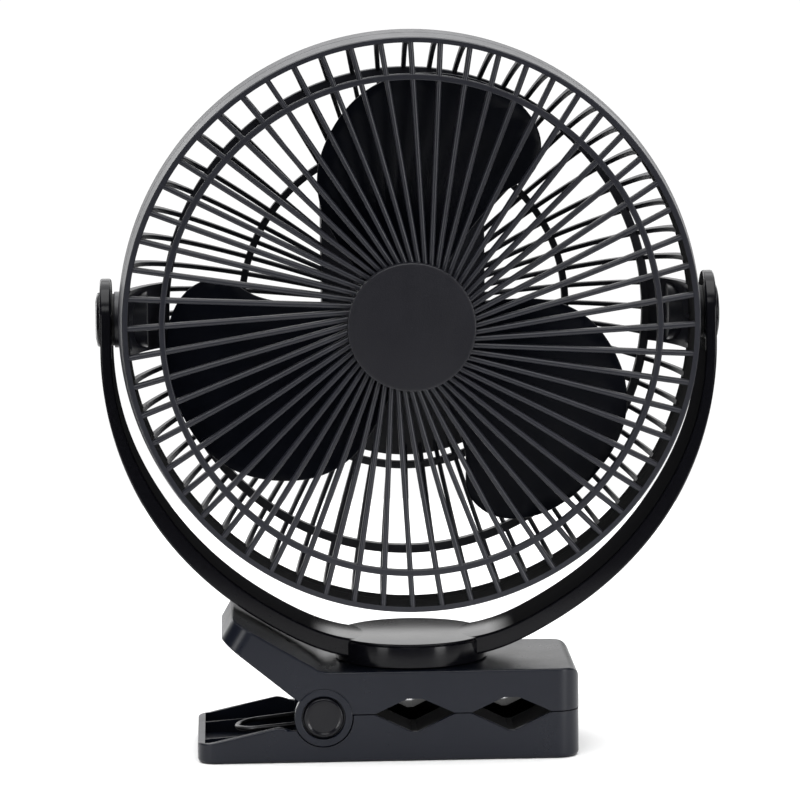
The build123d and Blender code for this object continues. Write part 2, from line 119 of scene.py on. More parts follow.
# A material with its nodes
class Finish(Graph):
    def __init__(self, name):
        self.material = bpy.data.materials.new(name)
        self.material.use_nodes = True
        super().__init__(self.material.node_tree)
        self.place = self.node("ShaderNodeTexCoord", output="Object")

    def noise(self, scale, detail=2.0, roughness=0.5, stretch=None):
        place = self.place
        if stretch:
            place = self.node("ShaderNodeMapping", inputs={"Vector": place, "Scale": stretch})
        inputs = {"Vector": place, "Scale": scale, "Detail": detail, "Roughness": roughness}
        return self.node("ShaderNodeTexNoise", inputs=inputs)

    def mixColours(self, factor, look):
        inputs = {0: factor, 6: look["darkColour"], 7: look["lightColour"]}
        return self.node("ShaderNodeMix", {"data_type": "RGBA"}, inputs, output=2)

    def bump(self, height, distance):
        return self.node("ShaderNodeBump", inputs={"Height": height, "Distance": distance, "Strength": 1.0})

    def show(self, shader):
        self.node("ShaderNodeOutputMaterial", inputs={"Surface": shader})
        return self.material

    def surface(self, inputs):
        return self.show(self.node("ShaderNodeBsdfPrincipled", inputs=inputs))


def shade(red, green, blue):
    return (red, green, blue, 1.0)


mouldedGrain = {
    "cloudShare": 0.7, "speckShare": 0.3, "speckPerGrain": 0.45, "speckGloss": 0.5,
    "wipePerCloud": 2.1, "wipeStretch": (1.0, 1.0, 0.25), "index": 1.5,
}


# Moulded plastic: cloudy colour, uneven gloss and a fine spark-eroded grain
def mouldedPlastic(name, look):
    finish = Finish(name)
    cloud = finish.noise(look["cloudScale"], 3.0)
    speck = finish.noise(look["grainScale"] * mouldedGrain["speckPerGrain"], 1.0)
    tone = cloud * mouldedGrain["cloudShare"] + speck * mouldedGrain["speckShare"]
    colour = finish.mixColours(tone, look)
    wipeScale = look["cloudScale"] * mouldedGrain["wipePerCloud"]
    wipe = finish.noise(wipeScale, 4.0, stretch=mouldedGrain["wipeStretch"])
    grain = finish.noise(look["grainScale"], 2.0, 0.6)
    wiped = (wipe - 0.5) * look["unevenness"]
    specked = (speck - 0.5) * look["unevenness"] * mouldedGrain["speckGloss"]
    return finish.surface({
        "Base Color": colour,
        "Roughness": look["roughness"] + wiped + specked,
        "Normal": finish.bump(grain, look["grainDepth"]),
        "Specular IOR Level": look["shine"],
        "IOR": mouldedGrain["index"],
    })


plasticLooks = {
    "grillePlastic": {
        "darkColour": shade(0.010, 0.0105, 0.0145), "lightColour": shade(0.017, 0.0178, 0.0235),
        "cloudScale": 55, "grainScale": 1500, "grainDepth": 0.00003,
        "roughness": 0.36, "unevenness": 0.14, "shine": 0.32,
    },
    # painted shade: the dull black on the inner wall of the rim and the band
    "bandPaintedShade": {
        "darkColour": shade(0.003, 0.003, 0.0035), "lightColour": shade(0.006, 0.006, 0.007),
        "cloudScale": 60, "grainScale": 900, "grainDepth": 0.00012,
        "roughness": 0.85, "unevenness": 0.1, "shine": 0.05,
    },
    "capPlastic": {
        "darkColour": shade(0.008, 0.008, 0.0105), "lightColour": shade(0.012, 0.012, 0.0155),
        "cloudScale": 70, "grainScale": 1900, "grainDepth": 0.00005,
        "roughness": 0.36, "unevenness": 0.14, "shine": 0.3,
    },
    "clampPlastic": {
        "darkColour": shade(0.0028, 0.0038, 0.0078), "lightColour": shade(0.0055, 0.007, 0.0128),
        "cloudScale": 45, "grainScale": 1700, "grainDepth": 0.000012,
        "roughness": 0.3, "unevenness": 0.12, "shine": 0.26,
    },
    "buttonPlastic": {
        "darkColour": shade(0.003, 0.003, 0.0045), "lightColour": shade(0.005, 0.005, 0.007),
        "cloudScale": 90, "grainScale": 1900, "grainDepth": 0.00002,
        "roughness": 0.2, "unevenness": 0.1, "shine": 0.22,
    },
    "yokePlastic": {
        "darkColour": shade(0.0025, 0.0025, 0.0036), "lightColour": shade(0.0042, 0.0042, 0.006),
        "cloudScale": 35, "grainScale": 1600, "grainDepth": 0.000001,
        "roughness": 0.16, "unevenness": 0.08, "shine": 0.15,
    },
    "bladePlastic": {
        "darkColour": shade(0.0018, 0.0025, 0.005), "lightColour": shade(0.0038, 0.0048, 0.0095),
        "cloudScale": 45, "grainScale": 1200, "grainDepth": 0.00002,
        "roughness": 0.34, "unevenness": 0.16, "shine": 0.09,
    },
    "housingPlastic": {
        "darkColour": shade(0.009, 0.009, 0.011), "lightColour": shade(0.016, 0.016, 0.019),
        "cloudScale": 45, "grainScale": 1300, "grainDepth": 0.00007,
        "roughness": 0.48, "unevenness": 0.16, "shine": 0.25,
    },
    "padRubber": {
        "darkColour": shade(0.008, 0.008, 0.008), "lightColour": shade(0.015, 0.015, 0.015),
        "cloudScale": 60, "grainScale": 1100, "grainDepth": 0.0001,
        "roughness": 0.8, "unevenness": 0.15, "shine": 0.3,
    },
    "washerNylon": {
        "darkColour": shade(0.004, 0.004, 0.0045), "lightColour": shade(0.007, 0.007, 0.008),
        "cloudScale": 80, "grainScale": 1300, "grainDepth": 0.00003,
        "roughness": 0.5, "unevenness": 0.12, "shine": 0.2,
    },
    "boardLacquer": {
        "darkColour": shade(0.008, 0.075, 0.032), "lightColour": shade(0.014, 0.13, 0.055),
        "cloudScale": 220, "grainScale": 900, "grainDepth": 0.00003,
        "roughness": 0.32, "unevenness": 0.15, "shine": 0.5,
    },
    "cellSleeve": {
        "darkColour": shade(0.012, 0.12, 0.10), "lightColour": shade(0.025, 0.20, 0.16),
        "cloudScale": 60, "grainScale": 700, "grainDepth": 0.00002,
        "roughness": 0.28, "unevenness": 0.12, "shine": 0.5,
    },
    "frostedLens": {
        "darkColour": shade(0.55, 0.57, 0.56), "lightColour": shade(0.72, 0.74, 0.73),
        "cloudScale": 120, "grainScale": 1500, "grainDepth": 0.00004,
        "roughness": 0.30, "unevenness": 0.1, "shine": 0.5,
    },
}
finishes = {name: mouldedPlastic(name, look) for name, look in plasticLooks.items()}


# painted shade: the dull black on the inside of the strap under the fan
paintedShadeYokeLook = {
    "darkColour": shade(0.0022, 0.0022, 0.003), "lightColour": shade(0.004, 0.004, 0.0055),
    "cloudScale": 35, "unevenness": 0.08, "fadeStart": 0.026, "fadeEnd": 0.036,
    "glossy": {"roughness": 0.16, "shine": 0.15, "index": 1.5},
    "dull": {"roughness": 0.5, "shine": 0.05, "index": 1.06},
}


# The yoke's gloss, which fades to a dull black along the inside of the strap: painted shade and a painted
# dark reflection of the fan above it
def paintedShadeYokeFinish(look):
    finish = Finish("yokePaintedShade")
    cloud = finish.noise(look["cloudScale"], 3.0)
    colour = finish.mixColours(cloud, look)
    across = finish.node("ShaderNodeSeparateXYZ", inputs={"Vector": finish.place})
    away = finish.node("ShaderNodeMath", {"operation": "ABSOLUTE"}, {0: across})
    inputs = {0: finish.fade(away, look["fadeStart"], look["fadeEnd"])}
    for socket, part in enumerate((look["glossy"], look["dull"]), 1):
        inputs[socket] = finish.node("ShaderNodeBsdfPrincipled", inputs={
            "Base Color": colour,
            "Roughness": part["roughness"] + (cloud - 0.5) * look["unevenness"],
            "Specular IOR Level": part["shine"],
            "IOR": part["index"],
        })
    return finish.show(finish.node("ShaderNodeMixShader", inputs=inputs))


finishes["yokePaintedShade"] = paintedShadeYokeFinish(paintedShadeYokeLook)


metalWear = {"cloudShare": 0.5, "brushShare": 0.5, "brushGloss": 0.2, "cloudGloss": 0.12}


# Metal: brushed along one direction, with cloudy tarnish
def workedMetal(name, look):
    finish = Finish(name)
    cloud = finish.noise(look["cloudScale"], 3.0)
    brush = finish.noise(look["brushScale"], 2.0, 0.6, stretch=look["brushStretch"])
    tone = cloud * metalWear["cloudShare"] + brush * metalWear["brushShare"]
    brushed = (brush - 0.5) * metalWear["brushGloss"]
    tarnished = (cloud - 0.5) * metalWear["cloudGloss"]
    return finish.surface({
        "Base Color": finish.mixColours(tone, look),
        "Roughness": look["roughness"] + brushed + tarnished,
        "Metallic": 1.0,
        "Normal": finish.bump(brush, look["brushDepth"]),
    })


metalLooks = {
    "screwSteel": {
        "darkColour": shade(0.42, 0.42, 0.43), "lightColour": shade(0.62, 0.62, 0.62),
        "cloudScale": 150, "brushScale": 900, "brushStretch": (1, 0.1, 1),
        "brushDepth": 0.000005, "roughness": 0.3,
    },
    "springSteel": {
        "darkColour": shade(0.035, 0.035, 0.037), "lightColour": shade(0.075, 0.075, 0.078),
        "cloudScale": 220, "brushScale": 1200, "brushStretch": (0.2, 1, 1),
        "brushDepth": 0.00002, "roughness": 0.36,
    },
    "motorSteel": {
        "darkColour": shade(0.30, 0.30, 0.31), "lightColour": shade(0.44, 0.44, 0.45),
        "cloudScale": 90, "brushScale": 700, "brushStretch": (1, 0.15, 1),
        "brushDepth": 0.00002, "roughness": 0.42,
    },
    "bushBronze": {
        "darkColour": shade(0.36, 0.22, 0.10), "lightColour": shade(0.52, 0.35, 0.18),
        "cloudScale": 300, "brushScale": 1500, "brushStretch": (1, 1, 1),
        "brushDepth": 0.00003, "roughness": 0.45,
    },
    "sinteredIron": {
        "darkColour": shade(0.06, 0.06, 0.06), "lightColour": shade(0.12, 0.12, 0.12),
        "cloudScale": 200, "brushScale": 1800, "brushStretch": (1, 1, 1),
        "brushDepth": 0.00005, "roughness": 0.6,
    },
    "stackedIron": {
        "darkColour": shade(0.16, 0.15, 0.15), "lightColour": shade(0.30, 0.29, 0.28),
        "cloudScale": 120, "brushScale": 900, "brushStretch": (0.1, 4, 0.1),
        "brushDepth": 0.00008, "roughness": 0.5,
    },
}
finishes.update({name: workedMetal(name, look) for name, look in metalLooks.items()})

slotFinish = {
    "clamp_plastic": "clampPlastic", "button_plastic": "buttonPlastic", "pad_rubber": "padRubber",
    "steel": "screwSteel", "spring_steel": "springSteel", "nylon": "washerNylon",
    "yoke_gloss": "yokePlastic", "grille_plastic": "grillePlastic", "cap_plastic": "capPlastic",
    "motor_steel": "motorSteel", "ferrite": "sinteredIron", "bronze": "bushBronze",
    "housing_plastic": "housingPlastic", "cell": "cellSleeve", "board": "boardLacquer",
    "socket_metal": "screwSteel", "lens": "frostedLens", "blade_plastic": "bladePlastic",
    "armature_steel": "stackedIron", "dial_plastic": "buttonPlastic",
}


def dressInSlot(piece, nodeName):
    piece.data.materials.clear()
    piece.data.materials.append(finishes[slotFinish[nodeSlot[nodeName]]])


for nodeName, node in cadNodes.items():
    dressInSlot(node, nodeName)
print("finishes made:", len(finishes))


# Turns the result of a piece's modifiers into its plain mesh
def settleModifiers(piece):
    bpy.context.view_layer.update()
    evaluated = piece.evaluated_get(bpy.context.evaluated_depsgraph_get())
    settled = bpy.data.meshes.new_from_object(evaluated)
    piece.modifiers.clear()
    old = piece.data
    piece.data = settled
    bpy.data.meshes.remove(old)
    settled.name = piece.name


def addObject(name, data):
    piece = bpy.data.objects.new(name, data)
    bpy.context.scene.collection.objects.link(piece)
    return piece


def meshOf(name, shape):
    mesh = bpy.data.meshes.new(name)
    bmesh.ops.recalc_face_normals(shape, faces=shape.faces)
    shape.to_mesh(mesh)
    shape.free()
    return mesh


# Rounds the edges of a piece that are sharper than the angle, and shades it smoothly
def softenEdges(piece, width, segments, angle):
    for polygon in piece.data.polygons:
        polygon.use_smooth = True
    bevel = piece.modifiers.new("roundedEdges", "BEVEL")
    bevel.width = width
    bevel.segments = segments
    bevel.limit_method = "ANGLE"
    bevel.angle_limit = math.radians(angle)
    bevel.use_clamp_overlap = False
    bevel.harden_normals = True
    bevel.miter_outer = "MITER_ARC"
    settleModifiers(piece)


# Hands a finished piece to the body of the nodes that it stands for
def standFor(piece, *nodeNames):
    slotName = nodeSlot[nodeNames[0]]
    if not piece.data.materials:
        piece.data.materials.append(finishes[slotFinish[slotName]])
    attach(piece, nodeBody[nodeNames[0]])
    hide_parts(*nodeNames)


# Shades a piece smoothly over its fillets and keeps its flat faces flat
def evenNormals(piece, angle):
    for polygon in piece.data.polygons:
        polygon.use_smooth = True
    piece.data.set_sharp_from_angle(angle=math.radians(angle))
    weighted = piece.modifiers.new("evenNormals", "WEIGHTED_NORMAL")
    weighted.keep_sharp = True
    settleModifiers(piece)


copyMerging = {"distance": 0.002, "flatAngle": 0.8}


# A solid's own mesh, made whole from its loose triangles
def wholeCopy(nodeName, pieceName):
    shape = bmesh.new()
    shape.from_mesh(cadNodes[nodeName].data)
    bmesh.ops.remove_doubles(shape, verts=shape.verts, dist=copyMerging["distance"] * mm)
    flat = math.radians(copyMerging["flatAngle"])
    bmesh.ops.dissolve_limit(shape, angle_limit=flat, verts=shape.verts, edges=shape.edges)
    mesh = bpy.data.meshes.new(pieceName)
    shape.to_mesh(mesh)
    shape.free()
    return addObject(pieceName, mesh)


# Faces between neighbouring loops of points, all the way round when closed
def skinLoops(shape, loops, closed=False):
    following = loops[1:] + loops[:1] if closed else loops[1:]
    for here, there in zip(loops, following):
        for k in range(len(here)):
            n = (k + 1) % len(here)
            shape.faces.new((here[k], here[n], there[n], there[k]))


# Where a point of an outline lies once it is turned about the fan's axis, the pivots' or the swivel's
def aboutFan(turn, radius, depth):
    return radius * math.cos(turn) * mm, depth * mm, fanHeight + radius * math.sin(turn) * mm


def aboutPivots(turn, radius, reach):
    return reach * mm, radius * math.cos(turn) * mm, fanHeight + radius * math.sin(turn) * mm


def aboutSwivel(turn, radius, height):
    return radius * math.cos(turn) * mm, radius * math.sin(turn) * mm, height * mm


# A closed outline in millimetres, turned all the way round
def addTurned(shape, outline, steps, place=aboutFan):
    turns = [2 * math.pi * step / steps for step in range(steps)]
    rings = [[shape.verts.new(place(turn, *point)) for point in outline] for turn in turns]
    skinLoops(shape, rings, closed=True)


poleRadius = 0.02  # turned outlines start this far from their axis, in millimetres


# The angles of a quarter round
def quarterRound(steps):
    return [math.radians(90 * step / steps) for step in range(steps + 1)]


# A flat face drawn as (x, z) from the front, made solid between two depths
def addSlab(shape, outline, depthFront, depthBack):
    front = [shape.verts.new((x * mm, depthFront * mm, fanHeight + z * mm)) for x, z in outline]
    back = [shape.verts.new((x * mm, depthBack * mm, fanHeight + z * mm)) for x, z in outline]
    shape.faces.new(front)
    shape.faces.new(reversed(back))
    count = len(outline)
    for k in range(count):
        n = (k + 1) % count
        shape.faces.new((front[n], front[k], back[k], back[n]))


# The cross-section of a rib: a rectangle with rounded corners, as (across, deep)
def ribSection(width, depth, radius, steps=3):
    section = []
    corners = ((1, 1, 0), (-1, 1, 90), (-1, -1, 180), (1, -1, 270))
    for signX, signY, start in corners:
        for step in range(steps + 1):
            angle = math.radians(start + 90 * step / steps)
            x = signX * (width / 2 - radius) + radius * math.cos(angle)
            y = signY * (depth / 2 - radius) + radius * math.sin(angle)
            section.append((x, y))
    return section


ribSharpAngle = 40


# One rib along +X: stations are (x, depth of its front, depth of its back)
def ribMesh(name, stations, width, offset, radius):
    shape = bmesh.new()
    loops = []
    for x, front, back in stations:
        middle = (front + back) / 2
        section = ribSection(width, abs(back - front), radius)
        places = [(x * mm, (middle + y) * mm, (z - offset) * mm) for z, y in section]
        loops.append([shape.verts.new(place) for place in places])
    skinLoops(shape, loops)
    shape.faces.new(loops[0])
    shape.faces.new(reversed(loops[-1]))
    mesh = meshOf(name, shape)
    for polygon in mesh.polygons:
        polygon.use_smooth = True
    mesh.set_sharp_from_angle(angle=math.radians(ribSharpAngle))
    return mesh


# Repeats a mesh about the fan's axis
def roundTree():
    tree = bpy.data.node_groups.new("repeatRound", "GeometryNodeTree")
    tree.is_modifier = True
    asked = {
        "Geometry": "Geometry", "Count": "Int", "First Angle": "Float",
        "Axis Height": "Float", "Finish": "Material",
    }
    for name, kind in asked.items():
        tree.interface.new_socket(name, in_out="INPUT", socket_type="NodeSocket" + kind)
    tree.interface.new_socket("Geometry", in_out="OUTPUT", socket_type="NodeSocketGeometry")
    graph = Graph(tree)
    given = {name: graph.node("NodeGroupInput", output=name) for name in asked}
    axisPoint = graph.node("ShaderNodeCombineXYZ", inputs={"Z": given["Axis Height"]})
    points = graph.node("GeometryNodePoints", inputs={"Count": given["Count"], "Position": axisPoint})
    share = graph.node("GeometryNodeInputIndex") / given["Count"]
    turn = share * (-2 * math.pi) - given["First Angle"]
    rotation = graph.node("ShaderNodeCombineXYZ", inputs={"Y": turn})
    placed = graph.node("GeometryNodeInstanceOnPoints", inputs={
        "Points": points, "Instance": given["Geometry"], "Rotation": rotation,
    })
    real = graph.node("GeometryNodeRealizeInstances", inputs={0: placed})
    painted = graph.node("GeometryNodeSetMaterial", inputs={"Geometry": real, "Material": given["Finish"]})
    graph.node("NodeGroupOutput", inputs={0: painted})
    return tree


repeatRound = roundTree()


def repeatAround(piece, count, firstAngle, finish):
    modifier = piece.modifiers.new("repeatRound", "NODES")
    modifier.node_group = repeatRound
    values = {"Count": count, "First Angle": math.radians(firstAngle)}
    values.update({"Axis Height": fanHeight, "Finish": finish})
    for socket in repeatRound.interface.items_tree:
        if socket.in_out == "INPUT" and socket.name in values:
            modifier[socket.identifier] = values[socket.name]
    settleModifiers(piece)


# Joins the meshes of several objects into the first one
def joinInto(piece, others):
    shape = bmesh.new()
    shape.from_mesh(piece.data)
    for other in others:
        shape.from_mesh(other.data)
        bpy.data.objects.remove(other)
    for face in shape.faces:
        face.material_index = 0
    shape.to_mesh(piece.data)
    shape.free()
    finish = [m for m in piece.data.materials if m][0]
    piece.data.materials.clear()
    piece.data.materials.append(finish)


insideShadeWall = {"facing": 0.9, "endsAt": -11.3}


# The rim and the band get painted shade, a dull black, on the wall that faces the axis
def paintInsideShade(piece, inner, outer):
    piece.data.materials.append(finishes["bandPaintedShade"])
    for polygon in piece.data.polygons:
        x, y, z = polygon.center
        reach = math.hypot(x, z - fanHeight) / mm
        outward = polygon.normal.x * x + polygon.normal.z * (z - fanHeight)
        facesAxis = outward < -insideShadeWall["facing"] * reach * mm
        # Faces of that inner wall get the dull black of painted shade
        if inner < reach < outer and y < insideShadeWall["endsAt"] * mm and facesAxis:
            polygon.material_index = 1


frontCageSizes = {
    "ribCount": 60, "ribWidth": 1.8, "ribDepth": 4.4, "ribOffset": 6.0, "ribRounding": 0.8,
    "ribStations": (20.2, 22.0, 30.0, 45.0, 60.0, 74.0, 84.4, 90.0, 96.7), "firstRibAngle": 5.14,
    "hubRadius": 22, "hubFront": -33.2, "hubBack": -29.0, "faceDepth": -36.2,
    "hubPlate": [(0.5, -33.2), (21.4, -33.2), (21.4, -30.2), (0.5, -30.2)],
    "ringRadius": 84.7, "ringWidth": 2.1, "ringFront": 0.05, "ringBack": 3.6, "ringRounding": 0.45,
    "rim": [
        (96.3, -36.3), (97.85, -36.3), (98.2, -35.95), (99.25, -26.75),
        (97.6, -26.75), (97.6, -21.5), (96.4, -21.5),
    ],
    "rimRounding": 0.05, "paintedShadeBetween": (96.2, 96.5), "turnSteps": 240, "bevelAngle": 25,
}


def frontCage(size):
    offset, ring, face = size["ribOffset"], size["ringRadius"], size["faceDepth"]
    hub, hubFront, hubBack = size["hubRadius"], size["hubFront"], size["hubBack"]
    stations = []
    for x in size["ribStations"]:
        share = min(max((math.hypot(x, offset) - hub) / (ring - hub), 0.0), 1.0)
        back = hubBack + share * (face + size["ribDepth"] - hubBack)
        stations.append((x, hubFront + share * (face - hubFront), back))
    ribs = ribMesh("frontCage", stations, size["ribWidth"], offset, size["ribRounding"])
    cage = addObject("frontCage", ribs)
    firstAngle = size["firstRibAngle"] + math.degrees(math.asin(offset / ring))
    repeatAround(cage, size["ribCount"], firstAngle, finishes["grillePlastic"])

    shape = bmesh.new()
    addTurned(shape, size["hubPlate"], 180)
    near, far = ring - size["ringWidth"] / 2, ring + size["ringWidth"] / 2
    front, back = face - size["ringFront"], face + size["ringBack"]
    addTurned(shape, [(near, front), (far, front), (far, back), (near, back)], size["turnSteps"])
    rings = addObject("frontRings", meshOf("frontRings", shape))
    rings.data.materials.append(finishes["grillePlastic"])
    softenEdges(rings, size["ringRounding"] * mm, 3, size["bevelAngle"])

    shape = bmesh.new()
    addTurned(shape, size["rim"], size["turnSteps"])
    rim = addObject("frontRim", meshOf("frontRim", shape))
    softenEdges(rim, size["rimRounding"] * mm, 1, size["bevelAngle"])
    joinInto(cage, [rings, rim])
    paintInsideShade(cage, *size["paintedShadeBetween"])
    standFor(cage, "front_grille")


frontCage(frontCageSizes)
print("front cage made")


rearCageSizes = {
    "ribCount": 60, "ribWidth": 1.6, "ribRounding": 0.7, "firstRibAngle": 0.0,
    "ribStart": 28.0, "ribSteps": 22, "lastSlope": 88.6, "ribSpan": 0.972, "leastDepth": 2.2,
    "domeCentre": (36.4, -24.7), "outerRadius": 63.8, "innerRadius": 60.6,
    "rings": ((84.1, 2.9, 13.8), (57.3, 2.4, 34.3)), "ringHalfDepth": 2.2,
    "plateFront": 34.5, "plateBack": 37.0, "plateGap": 0.05,
    "housingRadius": 53.8, "housingHalfWidth": 28.9, "housingSteps": 24,
    "motorSleeve": [(17.7, 14.0), (19.8, 14.0), (19.8, 35.0), (17.7, 35.0)],
    "panelStart": 83.0, "panelWidth": 15.0, "panelHalfHeight": 11.3,
    "panelSpan": 0.985, "panelSteps": (12, 8),
    "boss": [(2.45, 90.0), (9.7, 90.0), (9.7, 101.5), (2.45, 101.5)], "bodyRounding": 0.3,
    "band": [
        (97.75, -26.7), (99.3, -26.7), (99.82, -21.0), (99.96, -17.0), (99.46, -11.5),
        (96.4, -11.5), (96.4, -21.0), (97.75, -21.0),
    ],
    "bandRounding": 0.05, "paintedShadeBetween": (96.2, 96.6), "turnSteps": 240, "bevelAngle": 25,
}


def domeDepth(size, arcRadius, radius):
    across = max(radius - size["domeCentre"][0], 0.0)
    return size["domeCentre"][1] + math.sqrt(max(arcRadius**2 - across**2, 0.0))


# The control box from behind: a disc cut off straight on both sides
def housingOutline(size):
    radius, half, steps = size["housingRadius"], size["housingHalfWidth"], size["housingSteps"]
    top = math.acos(half / radius)
    angles = [top + (math.pi - 2 * top) * k / steps for k in range(steps + 1)]
    points = [(radius * math.cos(a), radius * math.sin(a)) for a in angles]
    return points + [(-x, -z) for x, z in points]


# A side panel that follows the cage, between its outer and its inner arc
def addPanel(shape, size, side):
    columns, rows = size["panelSteps"]
    height = size["panelHalfHeight"]
    grids = []
    for arc in (size["outerRadius"], size["innerRadius"]):
        grid = []
        for i in range(columns + 1):
            x = size["panelStart"] + size["panelWidth"] * i / columns
            row = []
            for j in range(rows + 1):
                z = -height + 2 * height * j / rows
                radius = min(math.hypot(x, z), size["domeCentre"][0] + arc * size["panelSpan"])
                depth = domeDepth(size, arc, radius)
                row.append(shape.verts.new((side * x * mm, depth * mm, fanHeight + z * mm)))
            grid.append(row)
        grids.append(grid)
    outerGrid, innerGrid = grids
    for i in range(columns):
        for j in range(rows):
            corners = ((i, j), (i + 1, j), (i + 1, j + 1), (i, j + 1))
            shape.faces.new([outerGrid[a][b] for a, b in corners])
            shape.faces.new([innerGrid[a][b] for a, b in reversed(corners)])
    border = [(i, 0) for i in range(columns)] + [(columns, j) for j in range(rows)]
    border += [(i, rows) for i in range(columns, 0, -1)] + [(0, j) for j in range(rows, 0, -1)]
    for (i, j), (a, b) in zip(border, border[1:] + border[:1]):
        shape.faces.new((outerGrid[a][b], outerGrid[i][j], innerGrid[i][j], innerGrid[a][b]))


def rearCage(size):
    outer, inner = size["outerRadius"], size["innerRadius"]
    stations = []
    for k in range(size["ribSteps"] + 1):
        slope = math.radians(size["lastSlope"] * k / size["ribSteps"])
        radius = size["domeCentre"][0] + outer * math.sin(slope) * size["ribSpan"]
        stations.append((radius, domeDepth(size, inner, radius), domeDepth(size, outer, radius)))
    stations = [(size["ribStart"], *stations[0][1:])] + stations
    stations = [(x, min(front, back - size["leastDepth"]), back) for x, front, back in stations]
    ribs = ribMesh("rearCage", stations, size["ribWidth"], 0.0, size["ribRounding"])
    cage = addObject("rearCage", ribs)
    repeatAround(cage, size["ribCount"], size["firstRibAngle"], finishes["grillePlastic"])
    # The ribs stay flush with the plate where the control box sits on it
    for vertex in cage.data.vertices:
        x, z = vertex.co.x / mm, (vertex.co.z - fanHeight) / mm
        inBox = abs(x) < size["housingHalfWidth"] and math.hypot(x, z) < size["housingRadius"]
        if inBox and vertex.co.y > size["plateBack"] * mm:
            vertex.co.y = (size["plateBack"] - size["plateGap"]) * mm

    shape = bmesh.new()
    for radius, width, depth in size["rings"]:
        near, far = radius - width / 2, radius + width / 2
        front, back = depth - size["ringHalfDepth"], depth + size["ringHalfDepth"]
        addTurned(shape, [(near, front), (far, front), (far, back), (near, back)], size["turnSteps"])
    addSlab(shape, housingOutline(size), size["plateFront"], size["plateBack"])
    addTurned(shape, size["motorSleeve"], 96)
    for side in (-1, 1):
        addPanel(shape, size, side)
        addTurned(shape, [(radius, side * reach) for radius, reach in size["boss"]], 48, aboutPivots)
    body = addObject("rearBody", meshOf("rearBody", shape))
    body.data.materials.append(finishes["grillePlastic"])
    softenEdges(body, size["bodyRounding"] * mm, 2, size["bevelAngle"])

    shape = bmesh.new()
    addTurned(shape, size["band"], size["turnSteps"])
    band = addObject("rearBand", meshOf("rearBand", shape))
    softenEdges(band, size["bandRounding"] * mm, 1, size["bevelAngle"])
    joinInto(cage, [body, band])
    paintInsideShade(cage, *size["paintedShadeBetween"])
    standFor(cage, "rear_grille")


rearCage(rearCageSizes)
print("rear cage made")


hubCapSizes = {
    "radius": 21.9, "frontDepth": -38.4, "backDepth": -33.5, "edge": 0.45,
    "flatMargin": 1.9, "slopeMargin": 1.2, "slope": 0.06,
    "wellRadius": 20.7, "wellDepth": -36.6, "rounding": 0.15,
}


def hubCap(size):
    radius, front, edge = size["radius"], size["frontDepth"], size["edge"]
    well, back = size["wellRadius"], size["backDepth"]
    outline = [(poleRadius, front), (radius - size["flatMargin"], front)]
    outline.append((radius - size["slopeMargin"], front + size["slope"]))
    for angle in quarterRound(6)[1:]:
        outline.append((radius - edge + edge * math.sin(angle), front + edge - edge * math.cos(angle)))
    outline += [(radius, back), (well, back), (well, size["wellDepth"]), (poleRadius, size["wellDepth"])]
    shape = bmesh.new()
    addTurned(shape, outline, 160)
    cap = addObject("hubCap", meshOf("hubCap", shape))
    softenEdges(cap, size["rounding"] * mm, 2, 40)
    standFor(cap, "hub_cap")


hubCap(hubCapSizes)
print("hub cap made")


yokeSizes = {
    "inner": [
        (0, -112.4), (28.5, -109.4), (44.2, -102.3), (62.8, -89.7), (87.5, -61.3), (98.9, -36), (102.4, -10),
    ],
    "outer": [
        (0, -119.3), (30.7, -115.3), (44.2, -109.1), (66.2, -94.5), (92, -64.4), (103.2, -36), (106.3, -10),
    ],
    "strapDepth": 28.4, "edge": 0.8, "crown": 0.4, "crownEnds": -30, "crownFades": 40,
    "straightLevels": [-7.0, -3.5], "sharpAngle": 50,
    "discRadius": 26.5, "discTop": 40.3, "discBottom": 32.0,
    "discEdge": 0.5, "discLip": 0.85, "discRounding": 0.2,
    "paintedShadeFrom": 26.6, "paintedShadeBelow": -12, "paintedShadeFacing": 0.85,
}


# A smooth line through (x, z) points, level at its start and upright at its end
def smoothLine(points, steps):
    spans = [math.dist(a, b) for a, b in zip(points, points[1:])]
    sweeps = 60
    lines = []
    for axis, startSlope, endSlope in ((0, 1.0, 0.0), (1, 0.0, 1.0)):
        values = [point[axis] for point in points]
        count = len(values)
        slopes = [0.0] * count
        slopes[0], slopes[-1] = startSlope, endSlope
        for _ in range(sweeps):
            for k in range(1, count - 1):
                a, b = spans[k - 1], spans[k]
                pull = 3 * ((values[k] - values[k - 1]) * b / a + (values[k + 1] - values[k]) * a / b)
                slopes[k] = (pull - b * slopes[k - 1] - a * slopes[k + 1]) / (2 * (a + b))
        lines.append((values, slopes))
    whole = []
    for k, span in enumerate(spans):
        for step in range(steps + (1 if k == len(spans) - 1 else 0)):
            t = step / steps
            weights = (2 * t**3 - 3 * t**2 + 1, t**3 - 2 * t**2 + t, -2 * t**3 + 3 * t**2, t**3 - t**2)
            point = []
            for values, slopes in lines:
                parts = (values[k], slopes[k] * span, values[k + 1], slopes[k + 1] * span)
                point.append(sum(w * part for w, part in zip(weights, parts)))
            whole.append(tuple(point))
    return whole


# The strap's cross-section as (across, deep), negative towards the fan
def strapSection(thickness, depth, radius, crown):
    cornerSteps, crownSteps = 4, 12
    section = ribSection(thickness, depth, radius, cornerSteps)
    crownStart = 2 * (cornerSteps + 1)
    reach = depth / 2 - radius
    rise = []
    for step in range(1, crownSteps):
        share = 1 - 2 * step / crownSteps
        rise.append((-thickness / 2 - crown * (1 - share * share), reach * share))
    return section[:crownStart] + rise + section[crownStart:]


